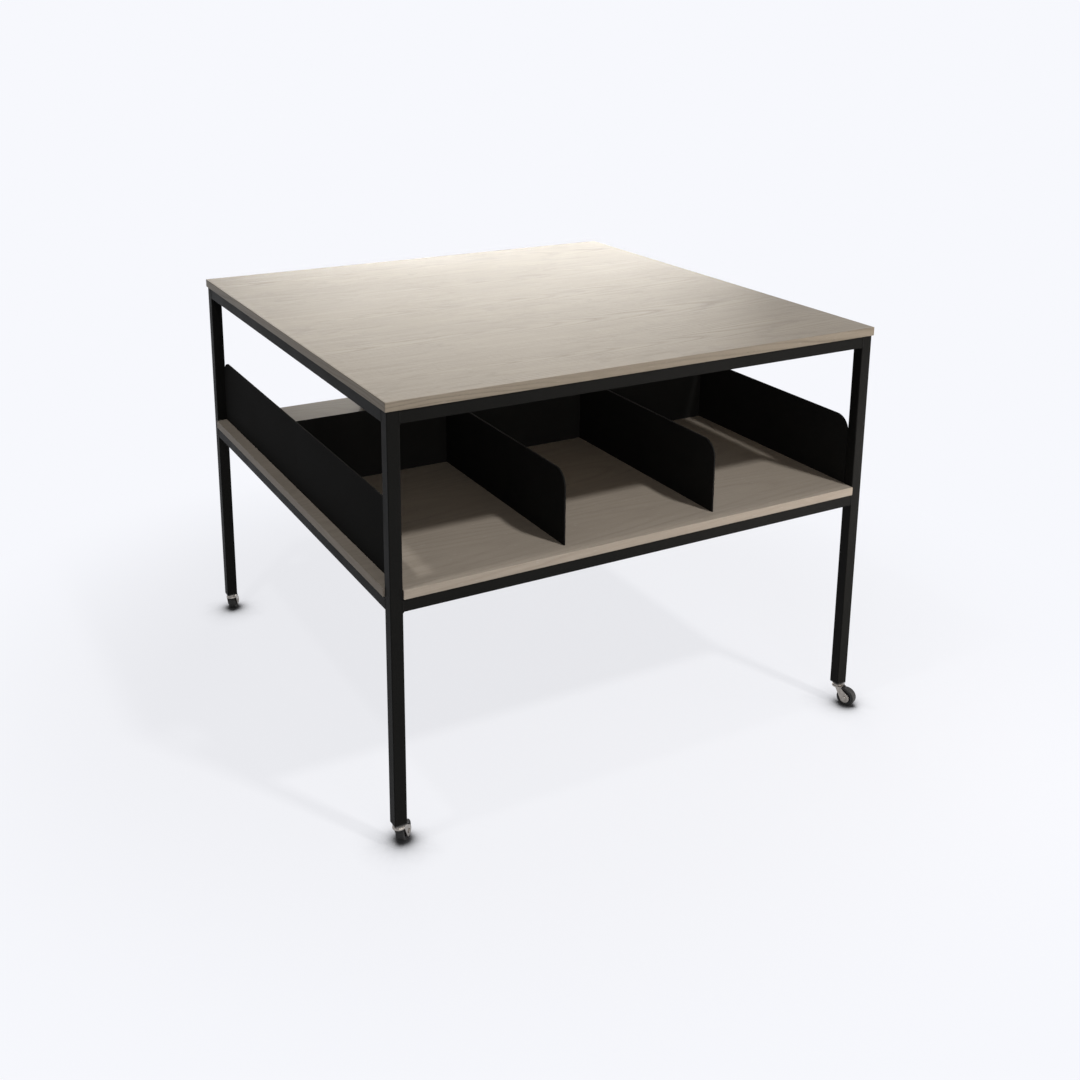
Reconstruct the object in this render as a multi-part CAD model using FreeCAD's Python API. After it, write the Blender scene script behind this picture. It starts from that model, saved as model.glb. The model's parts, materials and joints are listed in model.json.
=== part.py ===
import FreeCAD, Part
import math
import os

# Square shop display table on four swivel castors.
# A welded frame of square steel tube carries an oak-veneered top and, under it,
# an oak-veneered shelf in two halves. Black sheet-steel panels stand on the shelf:
# one at each side, a spine across the middle, and two dividers that cross the
# spine in half-lap slots and make six open compartments.
# Millimetres. X runs along the front, Y from front to back, Z up.
# The origin is on the floor under the centre of the table.

Vector = FreeCAD.Vector
X_AXIS = Vector(1, 0, 0)
Y_AXIS = Vector(0, 1, 0)
Z_AXIS = Vector(0, 0, 1)

# ---------------------------------------------------------------- table
frame_width = 1100.0
frame_depth = 1100.0
table_height = 875.0
shelf_drop = 352.0           # from the surface of the top to the surface of the shelf

# ---------------------------------------------------------------- steel tube
tube_size = 25.0
tube_wall = 1.5
tube_corner = 2.0            # outside corner radius of the tube

# ---------------------------------------------------------------- boards
board_thickness = 18.0
board_overhang = 3.0         # how far both boards stand proud of the frame
board_easing = 1.0           # rounded arrises of the boards
notch_clearance = 0.5        # between the shelf and the legs it is notched round
seam_gap = 0.4               # between the two halves of the shelf

# ---------------------------------------------------------------- sheet panels
panel_height = 150.0
panel_thickness = 3.0
panel_corner_radius = 35.0
panel_end_gap = 0.5          # between a side panel and the legs
divider_inset = 5.0          # from the legs' inner faces to a divider's end
lap_clearance = 0.2          # each side of a sheet where it sits in a slot
tab_length = 30.0
stub_depth = 12.0            # short tabs that only locate, in blind mortises
stub_bottom_gap = 0.5        # under a stub in its mortise
long_tab_drop = 15.0         # how far a divider's tabs reach below the shelf
side_tab_place = 260.0       # tabs of side panels and dividers, from the middle
spine_tab_place = 350.0      # tabs of the spine, from the middle
spine_end_tab_height = 40.0

# ---------------------------------------------------------------- cleats under the shelf
cleat_length = 26.0
cleat_foot = 22.0
cleat_upright = 13.0
cleat_thickness = 2.0
cleat_hole_drop = 8.0        # bolt axis below the shelf
bolt_radius = 2.0
bolt_hole_radius = 2.15
bolt_head_radius = 3.8
bolt_head_height = 2.2
bolt_tail = 1.2              # thread showing past the nut
nut_flats = 7.0
nut_height = 3.2
cleat_screw_radius = 1.75
cleat_screw_head_radius = 3.5
cleat_screw_head_height = 1.8
cleat_screw_length = 12.0
cleat_screw_place = 13.0     # from the tab's face

# ---------------------------------------------------------------- board screws
screw_radius = 2.0
screw_hole_radius = 2.25
screw_head_radius = 4.0
screw_head_height = 2.4
screw_bite = 13.0            # length of screw in the board
access_hole_radius = 5.0
rail_screw_place = 330.0     # along a rail, from its middle
cross_screw_place = 250.0
cross_screw_offset = 6.0     # each side of the seam between the shelf's halves

# ---------------------------------------------------------------- castors
wheel_radius = 20.0
tyre_width = 17.0
tyre_depth = 4.5
tyre_shoulder = 2.5
hub_rim_depth = 3.0
hub_rim_width = 15.0
hub_web_width = 7.0
hub_boss_radius = 5.5
hub_boss_gap = 0.6           # between the hub's boss and each fork cheek
castor_trail = 22.0
cheek_thickness = 1.8
cheek_gap = 2.0              # between the tyre and each fork cheek
cheek_end_radius = 10.5
crown_half_length = 12.0
crown_thickness = 2.0
crown_above_wheel = 2.0
crown_bend_radius = 2.5
crown_skirt = 4.0            # straight height of the cheeks' edges below the crown's top
axle_radius = 2.5
axle_head_radius = 4.5
axle_head_height = 1.4
running_clearance = 0.05     # radial, of the hub on its axle and the fork on its kingpin
kingpin_radius = 3.0
kingpin_head_radius = 4.8
kingpin_head_height = 1.8
kingpin_head_gap = 0.1
stem_radius = 4.0
stem_length = 20.0
race_radius = 10.0
race_thickness = 2.9
ball_radius = 1.25
ball_circle_radius = 7.2
ball_count = 10
ball_clearance = 0.05        # above and below each ball
race_rim_thickness = 1.3
race_rim_gap = 0.35          # between the fork's rim and the fixed race
race_rim_root = 1.0          # the rim's root in the crown
socket_flange = 2.5
socket_height = 25.0
socket_clearance = 0.2       # each side of the socket in the leg

# ---------------------------------------------------------------- making
overcut = 1.0                # how far a cutting block runs past the face it cuts
same_place = 0.01            # two heights or offsets this close count as one

# Each castor's leg, as signs of X and Y, and the heading that its wheel trails to.
castors = {
    "front_left": (-1, -1, 45.0),
    "front_right": (1, -1, -65.0),
    "back_left": (-1, 1, 63.0),
    "back_right": (1, 1, 118.0),
}

# ---------------------------------------------------------------- derived places
half_width = frame_width / 2
half_depth = frame_depth / 2
leg_inner_x = half_width - tube_size
leg_inner_y = half_depth - tube_size
leg_axis_x = half_width - tube_size / 2
leg_axis_y = half_depth - tube_size / 2
tube_inside = tube_size - 2 * tube_wall

top_underside = table_height - board_thickness
shelf_surface = table_height - shelf_drop
shelf_underside = shelf_surface - board_thickness
panel_top = shelf_surface + panel_height
board_half_width = half_width + board_overhang
board_half_depth = half_depth + board_overhang

side_panel_inner = leg_inner_x
side_panel_outer = side_panel_inner + panel_thickness
side_panel_half_length = leg_inner_y - panel_end_gap
divider_half_length = leg_inner_y - divider_inset
compartment_pitch = (2 * side_panel_inner + panel_thickness) / 3
divider_x = compartment_pitch / 2
half_sheet = panel_thickness / 2
half_height = panel_height / 2

axle_z = wheel_radius
tyre_half = tyre_width / 2
cheek_inner = tyre_half + cheek_gap
cheek_outer = cheek_inner + cheek_thickness
crown_underside = 2 * wheel_radius + crown_above_wheel
crown_top = crown_underside + crown_thickness
race_underside = crown_top + 2 * ball_radius + 2 * ball_clearance
socket_underside = race_underside + race_thickness
leg_bottom = socket_underside + socket_flange


# ---------------------------------------------------------------- shape helpers
def box(x0, y0, z0, x1, y1, z1):
    return Part.makeBox(x1 - x0, y1 - y0, z1 - z0, Vector(x0, y0, z0))


def rod(radius, length, base, direction=Z_AXIS):
    return Part.makeCylinder(radius, length, base, direction)


def filleted(solid, radius, wanted):
    """Round the edges for which wanted(edge) is true."""
    edges = [edge for edge in solid.Edges if wanted(edge)]
    return solid.makeFillet(radius, edges)


def runs_along(edge, axis):
    start = edge.Vertexes[0].Point
    end = edge.Vertexes[-1].Point
    span = end.sub(start)
    return span.Length > 1e-6 and abs(span.dot(axis)) > 0.999 * span.Length


def square_bar(size, corner, length):
    """A bar along Z with rounded corners, centred on the Z axis, from z = 0 up."""
    half = size / 2
    bar = box(-half, -half, 0, half, half, length)
    return filleted(bar, corner, lambda edge: runs_along(edge, Z_AXIS))


def square_tube(length):
    inner_corner = max(tube_corner - tube_wall, 0.2 * tube_corner)
    outside = square_bar(tube_size, tube_corner, length)
    inside = square_bar(tube_inside, inner_corner, length)
    return outside.cut(inside)


def group(solids):
    return Part.makeCompound(solids)


def revolved(points):
    """A solid of revolution about X from its half profile of (x, radius) points."""
    corners = [Vector(x, 0, radius) for x, radius in points]
    outline = Part.makePolygon(corners + corners[:1])
    return Part.Face(outline).revolve(Vector(0, 0, 0), X_AXIS, 360)


# ---------------------------------------------------------------- frame
def leg(sign_x, sign_y):
    tube = square_tube(top_underside - leg_bottom)
    tube.translate(Vector(sign_x * leg_axis_x, sign_y * leg_axis_y, leg_bottom))
    return tube


def rail(length, top, screw_places):
    """A rail along X under a board, bored for its screws at (along, across) places."""
    tube = square_tube(length)
    tube.rotate(Vector(0, 0, 0), Y_AXIS, 90)
    tube.translate(Vector(-length / 2, 0, top - tube_size / 2))
    for along, across in screw_places:
        low = Vector(along, across, top - tube_size - overcut)
        high = Vector(along, across, top - tube_size / 2)
        tube = tube.cut(rod(access_hole_radius, tube_size / 2 + overcut, low))
        tube = tube.cut(rod(screw_hole_radius, tube_size, high))
    return tube


def rails_under(board, board_underside):
    """Four rails round the frame and one across its middle, under one board."""
    ends = [(-rail_screw_place, 0), (rail_screw_place, 0)]
    pieces = {}
    for side, sign in (("front", -1), ("back", 1)):
        piece = rail(2 * leg_inner_x, board_underside, ends)
        piece.translate(Vector(0, sign * leg_axis_y, 0))
        pieces[f"{board}_rail_{side}"] = piece
    for side, sign in (("left", -1), ("right", 1)):
        piece = rail(2 * leg_inner_y, board_underside, ends)
        piece.rotate(Vector(0, 0, 0), Z_AXIS, 90)
        piece.translate(Vector(sign * leg_axis_x, 0, 0))
        pieces[f"{board}_rail_{side}"] = piece
    pieces[f"{board}_rail_cross"] = rail(2 * leg_inner_x, board_underside, cross_screws(board))
    return pieces


def cross_screws(board):
    """Screws of the cross rail: on its middle, or in pairs beside the shelf's seam."""
    offsets = (0,) if board == "top" else (-cross_screw_offset, cross_screw_offset)
    return [(sign * cross_screw_place, offset) for sign in (-1, 1) for offset in offsets]


def board_screw_places(board):
    places = list(cross_screws(board))
    for sign in (-1, 1):
        for end in (-rail_screw_place, rail_screw_place):
            places.append((end, sign * leg_axis_y))
            places.append((sign * leg_axis_x, end))
    return places


def board_screws(board, board_underside):
    screws = []
    seat = board_underside - tube_wall
    for x, y in board_screw_places(board):
        shank = rod(screw_radius, tube_wall + screw_bite, Vector(x, y, seat))
        head = rod(screw_head_radius, screw_head_height, Vector(x, y, seat - screw_head_height))
        screws.append(head.fuse(shank))
    return group(screws)


def drill_for_screws(solid, board, board_underside):
    for x, y in board_screw_places(board):
        solid = solid.cut(rod(screw_radius, screw_bite, Vector(x, y, board_underside)))
    return solid


def long_tab_places():
    """Where the dividers' tabs pass through the shelf."""
    return [(side * divider_x, end * side_tab_place) for side in (-1, 1) for end in (-1, 1)]


# ---------------------------------------------------------------- boards
def top_board():
    board = box(-board_half_width, -board_half_depth, top_underside,
                board_half_width, board_half_depth, table_height)
    board = board.makeFillet(board_easing, board.Edges)
    return drill_for_screws(board, "top", top_underside)


def shelf_half(sign):
    """One half of the shelf: notched round two legs, eased on its outer edges."""
    near = sign * seam_gap / 2
    far = sign * board_half_depth
    half = box(-board_half_width, min(near, far), shelf_underside,
               board_half_width, max(near, far), shelf_surface)
    notch_x = leg_inner_x - notch_clearance
    notch_y = leg_inner_y - notch_clearance
    for side in (-1, 1):
        x0, x1 = sorted((side * notch_x, side * 2 * half_width))
        y0, y1 = sorted((sign * notch_y, sign * 2 * half_depth))
        half = half.cut(box(x0, y0, shelf_underside - overcut, x1, y1, shelf_surface + overcut))

    def outer_arris(edge):
        middle = edge.BoundBox.Center
        level = runs_along(edge, X_AXIS) or runs_along(edge, Y_AXIS)
        return level and (abs(middle.x) > notch_x + overcut or abs(middle.y) > notch_y + overcut)

    half = filleted(half, board_easing, outer_arris)
    for cutter in shelf_mortises():
        half = half.cut(cutter)
    for x, y in long_tab_places():
        pilot = Vector(x + half_sheet + cleat_screw_place, y, shelf_underside)
        half = half.cut(rod(cleat_screw_radius, cleat_screw_length, pilot))
    return drill_for_screws(half, "shelf", shelf_underside)


def shelf_mortises():
    """Blind mortises for the stubs and through mortises for the long tabs."""
    half_run = tab_length / 2 + lap_clearance
    half_gap = half_sheet + lap_clearance
    floor = shelf_surface - stub_depth - stub_bottom_gap
    above = shelf_surface + overcut
    cutters = []
    for side in (-1, 1):
        x = side * (side_panel_inner + half_sheet)
        cutters.append(box(side * spine_tab_place - half_run, -half_gap, floor,
                           side * spine_tab_place + half_run, half_gap, above))
        for end in (-side_tab_place, side_tab_place):
            cutters.append(box(x - half_gap, end - half_run, floor,
                               x + half_gap, end + half_run, above))
    for x, y in long_tab_places():
        cutters.append(box(x - half_gap, y - half_run, shelf_underside - overcut,
                           x + half_gap, y + half_run, above))
    return cutters


# ---------------------------------------------------------------- sheet panels
def standing_sheet(half_length, corner_radius):
    """A sheet in the XZ plane on the shelf's surface, with rounded top corners."""
    sheet = box(-half_length, -half_sheet, shelf_surface, half_length, half_sheet, panel_top)
    if corner_radius > 0:
        def top_corner(edge):
            return runs_along(edge, Y_AXIS) and abs(edge.BoundBox.Center.z - panel_top) < same_place
        sheet = filleted(sheet, corner_radius, top_corner)
    return sheet


def with_tabs(sheet, places, depth):
    for place in places:
        tab = box(place - tab_length / 2, -half_sheet, shelf_surface - depth,
                  place + tab_length / 2, half_sheet, shelf_surface + overcut)
        sheet = sheet.fuse(tab)
    return sheet.removeSplitter()


def side_panel(side):
    sheet = standing_sheet(side_panel_half_length, panel_corner_radius)
    sheet = with_tabs(sheet, (-side_tab_place, side_tab_place), stub_depth)
    sheet.rotate(Vector(0, 0, 0), Z_AXIS, 90)
    sheet.translate(Vector(side * (side_panel_inner + half_sheet), 0, 0))
    half_slot = half_sheet + lap_clearance
    middle = shelf_surface + half_height
    half_rise = spine_end_tab_height / 2 + lap_clearance
    reach = side_panel_outer + overcut
    return sheet.cut(box(-reach, -half_slot, middle - half_rise, reach, half_slot, middle + half_rise))


def spine_panel():
    """The sheet across the table, slotted from above where the dividers cross it."""
    sheet = standing_sheet(side_panel_inner - lap_clearance, 0)
    sheet = with_tabs(sheet, (-spine_tab_place, spine_tab_place), stub_depth)
    middle = shelf_surface + half_height
    half_rise = spine_end_tab_height / 2
    end_tabs = box(-side_panel_outer, -half_sheet, middle - half_rise,
                   side_panel_outer, half_sheet, middle + half_rise)
    sheet = sheet.fuse(end_tabs).removeSplitter()
    half_slot = half_sheet + lap_clearance
    for side in (-1, 1):
        x = side * divider_x
        sheet = sheet.cut(box(x - half_slot, -panel_thickness, middle - lap_clearance,
                              x + half_slot, panel_thickness, panel_top + overcut))
    return sheet


def divider_panel(side):
    """A sheet from front to back, slotted from below to sit over the spine."""
    sheet = standing_sheet(divider_half_length, panel_corner_radius)
    sheet = with_tabs(sheet, (-side_tab_place, side_tab_place), board_thickness + long_tab_drop)
    half_slot = half_sheet + lap_clearance
    sheet = sheet.cut(box(-half_slot, -panel_thickness, shelf_surface - overcut,
                          half_slot, panel_thickness, shelf_surface + half_height + lap_clearance))
    for place in (-side_tab_place, side_tab_place):
        hole = Vector(place, -panel_thickness, shelf_underside - cleat_hole_drop)
        sheet = sheet.cut(rod(bolt_hole_radius, 2 * panel_thickness, hole, Y_AXIS))
    sheet.rotate(Vector(0, 0, 0), Z_AXIS, 90)
    sheet.translate(Vector(side * divider_x, 0, 0))
    return sheet


# ---------------------------------------------------------------- cleats under the shelf
def cleat():
    """An angle against the +X face of a tab at the origin, its foot under the shelf."""
    half = cleat_length / 2
    face = half_sheet
    upright = box(face, -half, shelf_underside - cleat_upright,
                  face + cleat_thickness, half, shelf_underside)
    foot = box(face, -half, shelf_underside - cleat_thickness,
               face + cleat_foot, half, shelf_underside)
    angle = upright.fuse(foot).removeSplitter()
    bolt_hole = Vector(0, 0, shelf_underside - cleat_hole_drop)
    angle = angle.cut(rod(bolt_hole_radius, cleat_foot, bolt_hole, X_AXIS))
    screw_hole = Vector(face + cleat_screw_place, 0, shelf_underside - 2 * cleat_thickness)
    return angle.cut(rod(cleat_screw_radius, 3 * cleat_thickness, screw_hole))


def cleat_bolt():
    """A bolt along +X through a tab and its cleat, its head on the tab's -X face."""
    z = shelf_underside - cleat_hole_drop
    grip = panel_thickness + cleat_thickness
    head = rod(bolt_head_radius, bolt_head_height, Vector(-half_sheet - bolt_head_height, 0, z), X_AXIS)
    shank = rod(bolt_radius, grip + nut_height + bolt_tail, Vector(-half_sheet, 0, z), X_AXIS)
    return head.fuse(shank)


def cleat_nut():
    z = shelf_underside - cleat_hole_drop
    start = half_sheet + cleat_thickness
    corner = nut_flats / math.sqrt(3)
    turns = [math.radians(60 * step) for step in range(7)]
    points = [Vector(start, corner * math.sin(turn), z + corner * math.cos(turn)) for turn in turns]
    nut = Part.Face(Part.makePolygon(points)).extrude(Vector(nut_height, 0, 0))
    return nut.cut(rod(bolt_radius, nut_height, Vector(start, 0, z), X_AXIS))


def cleat_screw():
    x = half_sheet + cleat_screw_place
    seat = shelf_underside - cleat_thickness
    head = rod(cleat_screw_head_radius, cleat_screw_head_height,
               Vector(x, 0, seat - cleat_screw_head_height))
    shank = rod(cleat_screw_radius, cleat_thickness + cleat_screw_length, Vector(x, 0, seat))
    return head.fuse(shank)


def at_each_tab(make):
    """One copy of a cleat piece at each long tab of the two dividers."""
    copies = []
    for x, y in long_tab_places():
        piece = make()
        piece.translate(Vector(x, y, 0))
        copies.append(piece)
    return group(copies)


# ---------------------------------------------------------------- castors
# Each castor is built with its kingpin on the Z axis and its wheel trailing to +X.
def on_wheel(solid):
    """Turn a solid of revolution about X into one about the wheel's axle."""
    solid.rotate(Vector(0, 0, 0), Z_AXIS, 90)
    solid.translate(Vector(castor_trail, 0, axle_z))
    return solid


def castor_tyre():
    inner = wheel_radius - tyre_depth
    tread = Part.makeCylinder(wheel_radius, tyre_width, Vector(-tyre_half, 0, 0), X_AXIS)
    tread = filleted(tread, tyre_shoulder, lambda edge: abs(edge.BoundBox.Center.x) > tyre_half - same_place
                     and edge.BoundBox.YLength > wheel_radius)
    return on_wheel(tread.cut(rod(inner, tyre_width, Vector(-tyre_half, 0, 0), X_AXIS)))


def castor_hub():
    rim_outer = wheel_radius - tyre_depth
    rim_inner = rim_outer - hub_rim_depth
    bore = axle_radius + running_clearance
    boss = cheek_inner - hub_boss_gap
    half_rim = hub_rim_width / 2
    half_web = hub_web_width / 2
    right = [(boss, bore), (boss, hub_boss_radius), (half_web, hub_boss_radius),
             (half_web, rim_inner), (half_rim, rim_inner), (half_rim, rim_outer)]
    left = [(-x, radius) for x, radius in reversed(right)]
    return on_wheel(revolved(right + left))


def castor_axle():
    pin = rod(axle_radius, 2 * cheek_outer, Vector(-cheek_outer, 0, 0), X_AXIS)
    for start in (-cheek_outer - axle_head_height, cheek_outer):
        pin = pin.fuse(rod(axle_head_radius, axle_head_height, Vector(start, 0, 0), X_AXIS))
    return on_wheel(pin.removeSplitter())


def tangent_point(point_x, point_z, side):
    """Where a line from a point touches the cheek's round end; side is -1 or 1."""
    away_x = point_x - castor_trail
    away_z = point_z - axle_z
    distance = math.hypot(away_x, away_z)
    turn = math.atan2(away_z, away_x) + side * math.acos(cheek_end_radius / distance)
    return Vector(castor_trail + cheek_end_radius * math.cos(turn), 0,
                  axle_z + cheek_end_radius * math.sin(turn))


def hood(half_across, low, high, back_end):
    """A block round the kingpin: half round in front, straight sides to its back end."""
    outline = Part.Wire([
        Part.Arc(Vector(0, -half_across, low), Vector(-half_across, 0, low),
                 Vector(0, half_across, low)).toShape(),
        Part.makeLine(Vector(0, half_across, low), Vector(back_end, half_across, low)),
        Part.makeLine(Vector(back_end, half_across, low), Vector(back_end, -half_across, low)),
        Part.makeLine(Vector(back_end, -half_across, low), Vector(0, -half_across, low)),
    ])
    return Part.Face(outline).extrude(Vector(0, 0, high - low))


def fork_cheek(start_y):
    """A cheek from the hood's side to a round end on the axle, as thick as the sheet."""
    top_z = crown_top - crown_bend_radius
    skirt_z = crown_top - crown_skirt
    front = Vector(0, 0, skirt_z)
    back = Vector(crown_half_length, 0, skirt_z)
    front_touch = tangent_point(front.x, front.z, 1)
    back_touch = tangent_point(back.x, back.z, -1)
    lowest = Vector(castor_trail, 0, axle_z - cheek_end_radius)
    outline = Part.Wire([
        Part.makeLine(Vector(front.x, 0, top_z), front),
        Part.makeLine(front, front_touch),
        Part.Arc(front_touch, lowest, back_touch).toShape(),
        Part.makeLine(back_touch, back),
        Part.makeLine(back, Vector(back.x, 0, top_z)),
        Part.makeLine(Vector(back.x, 0, top_z), Vector(front.x, 0, top_z)),
    ])
    cheek = Part.Face(outline).extrude(Vector(0, cheek_thickness, 0))
    cheek.translate(Vector(0, start_y, 0))
    return cheek


def castor_fork():
    """A pressed fork: a hood under the race, two cheeks, and a rim round the balls."""
    skirt_z = crown_top - crown_skirt
    fork = hood(cheek_outer, skirt_z, crown_top, crown_half_length)

    def top_bend(edge):
        middle = edge.BoundBox.Center
        return abs(middle.z - crown_top) < same_place and middle.x < crown_half_length - same_place

    fork = filleted(fork, crown_bend_radius, top_bend)
    fork = fork.cut(hood(cheek_inner, skirt_z - overcut, crown_underside, 2 * crown_half_length))
    fork = fork.fuse([fork_cheek(cheek_inner), fork_cheek(-cheek_outer)]).removeSplitter()
    rim_root = crown_top - race_rim_root
    rim_height = race_underside - race_rim_gap - rim_root
    rim_outer = race_radius + race_rim_thickness / 2
    rim = rod(rim_outer, rim_height, Vector(0, 0, rim_root))
    fork = fork.fuse(rim).removeSplitter()
    well = rod(rim_outer - race_rim_thickness, rim_height, Vector(0, 0, crown_top))
    fork = fork.cut(well)
    fork = fork.cut(rod(kingpin_radius + running_clearance, 2 * crown_top, Vector(0, 0, 0)))
    axle_hole = Vector(castor_trail, -2 * cheek_outer, axle_z)
    return fork.cut(rod(axle_radius, 4 * cheek_outer, axle_hole, Y_AXIS))


def castor_balls():
    balls = []
    for step in range(ball_count):
        turn = 2 * math.pi * step / ball_count
        centre = Vector(ball_circle_radius * math.cos(turn), ball_circle_radius * math.sin(turn),
                        crown_top + ball_clearance + ball_radius)
        balls.append(Part.makeSphere(ball_radius, centre))
    return group(balls)


def castor_kingpin():
    head_top = crown_underside - kingpin_head_gap
    head = rod(kingpin_head_radius, kingpin_head_height, Vector(0, 0, head_top - kingpin_head_height))
    pin = rod(kingpin_radius, race_underside - head_top, Vector(0, 0, head_top))
    race = rod(race_radius, race_thickness, Vector(0, 0, race_underside))
    stem = rod(stem_radius, stem_length, Vector(0, 0, socket_underside))
    return head.fuse([pin, race, stem]).removeSplitter()


def castor_socket():
    plug = square_bar(tube_inside - 2 * socket_clearance, tube_corner / 2, socket_height)
    plug.translate(Vector(0, 0, leg_bottom))
    flange = square_bar(tube_size, tube_corner, socket_flange)
    flange.translate(Vector(0, 0, socket_underside))
    socket = flange.fuse(plug)
    return socket.cut(rod(stem_radius, stem_length, Vector(0, 0, socket_underside)))


castor_pieces = {
    "socket": castor_socket,
    "kingpin": castor_kingpin,
    "balls": castor_balls,
    "fork": castor_fork,
    "axle": castor_axle,
    "hub": castor_hub,
    "tyre": castor_tyre,
}


def placed_castor(name):
    sign_x, sign_y, heading = castors[name]
    pieces = {}
    for piece, make in castor_pieces.items():
        solid = make()
        if piece != "socket":
            solid.rotate(Vector(0, 0, 0), Z_AXIS, heading)
        solid.translate(Vector(sign_x * leg_axis_x, sign_y * leg_axis_y, 0))
        pieces[f"castor_{name}_{piece}"] = solid
    return pieces


# ---------------------------------------------------------------- whole table
def whole_table():
    nodes = {}
    for name, (sign_x, sign_y, _) in castors.items():
        nodes[f"leg_{name}"] = leg(sign_x, sign_y)
    nodes.update(rails_under("top", top_underside))
    nodes.update(rails_under("shelf", shelf_underside))
    nodes["top_board"] = top_board()
    nodes["shelf_board_front"] = shelf_half(-1)
    nodes["shelf_board_back"] = shelf_half(1)
    nodes["side_panel_left"] = side_panel(-1)
    nodes["side_panel_right"] = side_panel(1)
    nodes["spine_panel"] = spine_panel()
    nodes["divider_left"] = divider_panel(-1)
    nodes["divider_right"] = divider_panel(1)
    nodes["top_screws"] = board_screws("top", top_underside)
    nodes["shelf_screws"] = board_screws("shelf", shelf_underside)
    nodes["panel_cleats"] = at_each_tab(cleat)
    nodes["cleat_bolts"] = at_each_tab(cleat_bolt)
    nodes["cleat_nuts"] = at_each_tab(cleat_nut)
    nodes["cleat_screws"] = at_each_tab(cleat_screw)
    for name in castors:
        nodes.update(placed_castor(name))
    return nodes


os.makedirs("parts", exist_ok=True)
for node, shape in whole_table().items():
    shape.exportStep(f"parts/{node}.step")
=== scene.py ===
import json
import math

import bmesh
import bpy
from mathutils import Matrix, Vector


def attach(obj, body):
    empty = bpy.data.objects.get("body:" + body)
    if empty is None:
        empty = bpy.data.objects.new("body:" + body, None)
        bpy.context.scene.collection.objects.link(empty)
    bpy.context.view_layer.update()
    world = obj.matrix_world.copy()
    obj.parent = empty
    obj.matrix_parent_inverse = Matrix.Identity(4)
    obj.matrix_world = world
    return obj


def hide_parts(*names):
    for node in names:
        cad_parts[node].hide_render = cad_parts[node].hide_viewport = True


# Shop display table: the finishes of its oak boards, black steel and small castors, its weld
# beads and fixings, and the studio that it stands in. Lengths are in metres.

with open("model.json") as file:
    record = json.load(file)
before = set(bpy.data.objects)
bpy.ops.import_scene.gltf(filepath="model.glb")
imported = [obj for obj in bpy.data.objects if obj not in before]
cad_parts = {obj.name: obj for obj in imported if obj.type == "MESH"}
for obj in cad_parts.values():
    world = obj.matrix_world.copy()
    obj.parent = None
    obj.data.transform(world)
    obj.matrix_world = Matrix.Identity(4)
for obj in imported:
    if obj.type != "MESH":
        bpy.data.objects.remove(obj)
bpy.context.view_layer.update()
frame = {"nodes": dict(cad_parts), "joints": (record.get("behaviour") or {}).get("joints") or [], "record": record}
nodes = frame["nodes"]

# ---------------------------------------------------------------- places on the table
TUBE = 0.025           # outside width of the square tube
TUBE_WALL = 0.0015
TUBE_CORNER = 0.002    # outside radius of its corners
LEG_AXIS = 0.5375      # from the middle of the table to a leg's axis, along X and along Y
LEG_INNER = LEG_AXIS - TUBE / 2
LEG_OUTER = LEG_AXIS + TUBE / 2
corners = {
    "front_left": (-1, -1),
    "front_right": (1, -1),
    "back_left": (-1, 1),
    "back_right": (1, 1),
}
rail_tops = {"top": 0.857, "shelf": 0.505}


# ---------------------------------------------------------------- finish helpers
def new_finish(name):
    """A material with one principled shader; returns (material, tree, shader)."""
    material = bpy.data.materials.new(name)
    material.use_nodes = True
    tree = material.node_tree
    tree.nodes.clear()
    output = tree.nodes.new("ShaderNodeOutputMaterial")
    shader = tree.nodes.new("ShaderNodeBsdfPrincipled")
    tree.links.new(shader.outputs["BSDF"], output.inputs["Surface"])
    return material, tree, shader


def put(tree, kind, inputs=None, **settings):
    """A shader node; each input is a value or the socket that feeds it."""
    node = tree.nodes.new(kind)
    for name, value in settings.items():
        setattr(node, name, value)
    for key, value in (inputs or {}).items():
        if isinstance(value, bpy.types.NodeSocket):
            tree.links.new(value, node.inputs[key])
        else:
            node.inputs[key].default_value = value
    return node


def calc(tree, operation, *values):
    """A maths node on numbers or sockets."""
    return put(tree, "ShaderNodeMath", dict(enumerate(values)), operation=operation).outputs[0]


def times(tree, first, second):
    return calc(tree, "MULTIPLY", first, second)


def times_plus(tree, first, second, third):
    return calc(tree, "MULTIPLY_ADD", first, second, third)


def minus(tree, first, second):
    return calc(tree, "SUBTRACT", first, second)


def size_of(tree, value):
    return calc(tree, "ABSOLUTE", value)


def vector(tree, x, y, z):
    return put(tree, "ShaderNodeCombineXYZ", {0: x, 1: y, 2: z}).outputs[0]


def noise(tree, place, scale, detail=2.0, rough=0.5, distortion=0.0):
    inputs = {
        "Vector": place,
        "Scale": scale,
        "Detail": detail,
        "Roughness": rough,
        "Distortion": distortion,
    }
    return put(tree, "ShaderNodeTexNoise", inputs).outputs["Fac"]


def stretched_noise(tree, place, scales, detail, rough, distortion=0.0):
    """Noise whose scale differs along X, Y and Z."""
    mapping = put(tree, "ShaderNodeMapping", {"Vector": place, "Scale": scales})
    return noise(tree, mapping.outputs[0], 1.0, detail, rough, distortion)


def spread(tree, value, low, high, to_low=0.0, to_high=1.0, smooth=False):
    """Maps low..high onto to_low..to_high, clamped."""
    kind = "SMOOTHSTEP" if smooth else "LINEAR"
    inputs = {0: value, 1: low, 2: high, 3: to_low, 4: to_high}
    return put(tree, "ShaderNodeMapRange", inputs, interpolation_type=kind).outputs[0]


def mix_value(tree, share, first, second):
    inputs = {0: share, 2: first, 3: second}
    return put(tree, "ShaderNodeMix", inputs, data_type="FLOAT").outputs[0]


def mix_colour(tree, share, first, second, blend="MIX"):
    inputs = {0: share, 6: first, 7: second}
    node = put(tree, "ShaderNodeMix", inputs, data_type="RGBA", blend_type=blend)
    return node.outputs[2]


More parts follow.
